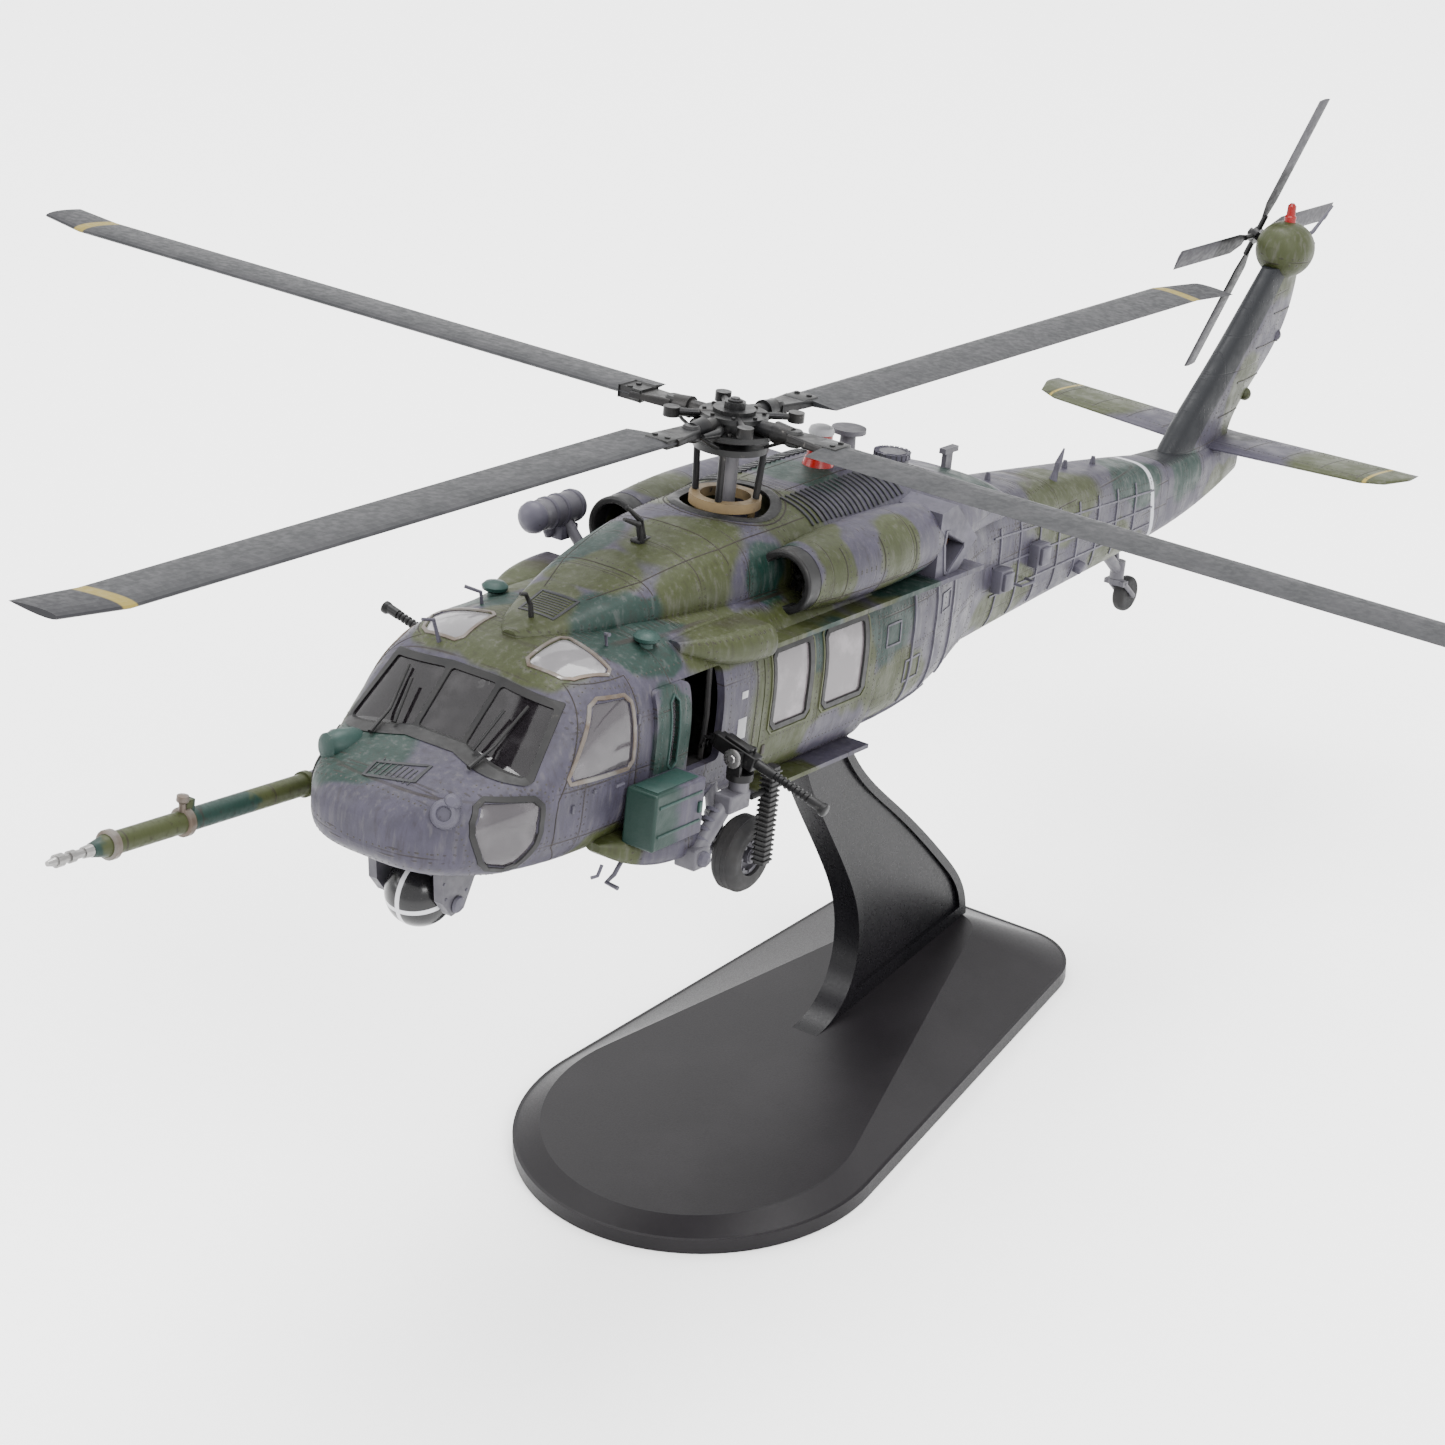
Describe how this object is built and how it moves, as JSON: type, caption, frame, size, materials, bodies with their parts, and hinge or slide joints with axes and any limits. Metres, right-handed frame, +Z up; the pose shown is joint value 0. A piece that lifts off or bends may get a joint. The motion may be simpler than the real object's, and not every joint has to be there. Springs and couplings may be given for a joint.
{
  "type": "helicopter scale model",
  "caption": "Scale model of a twin-engine utility helicopter with turning rotors, sliding doors and tipping guns, tilted nose-up on a curved arm and black base.",
  "frame": {"origin": "middle of the stand's underside, on the surface it stands on", "axes": "+Z up, -Y towards the helicopter's nose, +X towards its port side"},
  "size_m": [0.2272, 0.2771, 0.1201],
  "materials": {
    "airframe_grey": "satin purplish grey paint with worn edges",
    "camouflage": "satin grey, olive and dark green camouflage",
    "stand_black": "satin black plastic",
    "glazing": "clear slightly smoky panes",
    "frame_black": "black window frames and seals",
    "interior_dark": "near black interior",
    "rotor_steel": "dark grey rotor metal",
    "hub_black": "black",
    "blade_grey": "dark grey blades",
    "swashplate_tan": "tan",
    "tyre": "dark grey rubber",
    "gear_grey": "grey",
    "gun_metal": "dark gun metal",
    "sensor_black": "black with a pale cross",
    "nozzle_silver": "bare silver",
    "exhaust": "grey frame, brown inside",
    "beacon_red": "red lens with a pale top"
  },
  "bodies": {
    "stand": {"stand_base": "stand_black", "stand_arm": "stand_black"},
    "airframe": {"ammunition_boxes": "gun_metal", "ammunition_chutes": "gun_metal", "beacon": "beacon_red", "cabin_floor": "interior_dark", "cockpit_seats": "interior_dark", "cockpit_side_glass": "glazing", "door_rails": "airframe_grey", "engine_nacelles": "camouflage", "exhaust_boxes": "exhaust", "fuselage_shell": "airframe_grey", "gun_arms": "gun_metal", "gunner_window_frames": "frame_black", "gunner_window_glass": "glazing", "instrument_panel": "interior_dark", "intake_rings": "frame_black", "main_gear_legs": "gear_grey", "probe_nozzle": "nozzle_silver", "refuelling_probe": "airframe_grey", "rescue_hoist": "airframe_grey", "roof_antennas": "airframe_grey", "roof_fairings": "camouflage", "roof_glass": "glazing", "rotor_cowling": "camouflage", "sensor_bracket": "airframe_grey", "sponsons": "airframe_grey", "stabilator": "camouflage", "swashplate_ring": "swashplate_tan", "tail_boom": "camouflage", "tail_gear_leg": "gear_grey", "tail_gearbox_fairing": "camouflage", "tail_pylon": "airframe_grey", "windscreen_frame": "frame_black", "windscreen_glass": "glazing", "wipers": "frame_black"},
    "main_rotor": {"rotor_mast": "rotor_steel", "rotor_hub": "hub_black", "blade_cuffs": "rotor_steel", "vibration_absorber": "rotor_steel", "main_blades": "blade_grey", "pushrods": "rotor_steel"},
    "tail_rotor": {"tail_rotor_shaft": "rotor_steel", "tail_rotor_hub": "rotor_steel", "tail_rotor_blades": "blade_grey"},
    "port_wheel": {"port_tyre": "tyre", "port_wheel_hub": "gear_grey"},
    "starboard_wheel": {"starboard_tyre": "tyre", "starboard_wheel_hub": "gear_grey"},
    "tail_fork": {"tail_fork": "gear_grey"},
    "tail_wheel": {"tail_wheel": "tyre"},
    "port_door": {"port_cabin_door": "camouflage", "port_door_glass": "glazing"},
    "starboard_door": {"starboard_cabin_door": "camouflage", "starboard_door_glass": "glazing"},
    "port_gun_yoke": {"port_gun_yoke": "gun_metal"},
    "starboard_gun_yoke": {"starboard_gun_yoke": "gun_metal"},
    "port_gun": {"port_gun": "gun_metal"},
    "starboard_gun": {"starboard_gun": "gun_metal"},
    "sensor_ball": {"sensor_ball": "sensor_black"}
  },
  "joints": [
    {"name": "lift_off_stand", "type": "slide", "parent": "stand", "child": "airframe", "axis": [0, 0.1692, 0.9856], "range_m": [0, 0.02]},
    {"name": "main_rotor_spin", "type": "hinge", "parent": "airframe", "child": "main_rotor", "pos_m": [0, -0.0157, 0.1005], "axis": [0, 0.1692, 0.9856], "continuous": true},
    {"name": "tail_rotor_spin", "type": "hinge", "parent": "airframe", "child": "tail_rotor", "pos_m": [-0.005, 0.12592, 0.07791], "axis": [-0.9397, 0.0579, 0.3371], "continuous": true},
    {"name": "port_wheel_roll", "type": "hinge", "parent": "airframe", "child": "port_wheel", "pos_m": [0.0183, -0.0394, 0.0582], "axis": [1, 0, 0], "continuous": true},
    {"name": "starboard_wheel_roll", "type": "hinge", "parent": "airframe", "child": "starboard_wheel", "pos_m": [-0.0183, -0.0394, 0.0582], "axis": [1, 0, 0], "continuous": true},
    {"name": "tail_fork_swivel", "type": "hinge", "parent": "airframe", "child": "tail_fork", "pos_m": [0, 0.07986, 0.04128], "axis": [0, 0.1692, 0.9856], "continuous": true},
    {"name": "tail_wheel_roll", "type": "hinge", "parent": "tail_fork", "child": "tail_wheel", "pos_m": [0, 0.08268, 0.03765], "axis": [1, 0, 0], "continuous": true},
    {"name": "port_door_slide", "type": "slide", "parent": "airframe", "child": "port_door", "axis": [0, 0.9856, -0.1692], "range_m": [0, 0.022]},
    {"name": "starboard_door_slide", "type": "slide", "parent": "airframe", "child": "starboard_door", "axis": [0, 0.9856, -0.1692], "range_m": [0, 0.022]},
    {"name": "port_gun_swing", "type": "hinge", "parent": "airframe", "child": "port_gun_yoke", "pos_m": [0.0208, -0.04292, 0.07372], "axis": [0, 0.1692, 0.9856], "range_deg": [-15, 15]},
    {"name": "starboard_gun_swing", "type": "hinge", "parent": "airframe", "child": "starboard_gun_yoke", "pos_m": [-0.0208, -0.04292, 0.07372], "axis": [0, 0.1692, 0.9856], "range_deg": [-15, 15]},
    {"name": "port_gun_tip", "type": "hinge", "parent": "port_gun_yoke", "child": "port_gun", "pos_m": [0.0208, -0.04292, 0.07372], "axis": [0, 0.9856, -0.1692], "range_deg": [-25, 10]},
    {"name": "starboard_gun_tip", "type": "hinge", "parent": "starboard_gun_yoke", "child": "starboard_gun", "pos_m": [-0.0208, -0.04292, 0.07372], "axis": [0, 0.9856, -0.1692], "range_deg": [-25, 10]},
    {"name": "sensor_ball_tip", "type": "hinge", "parent": "airframe", "child": "sensor_ball", "pos_m": [0, -0.07629, 0.06433], "axis": [1, 0, 0], "range_deg": [-30, 60]}
  ]
}
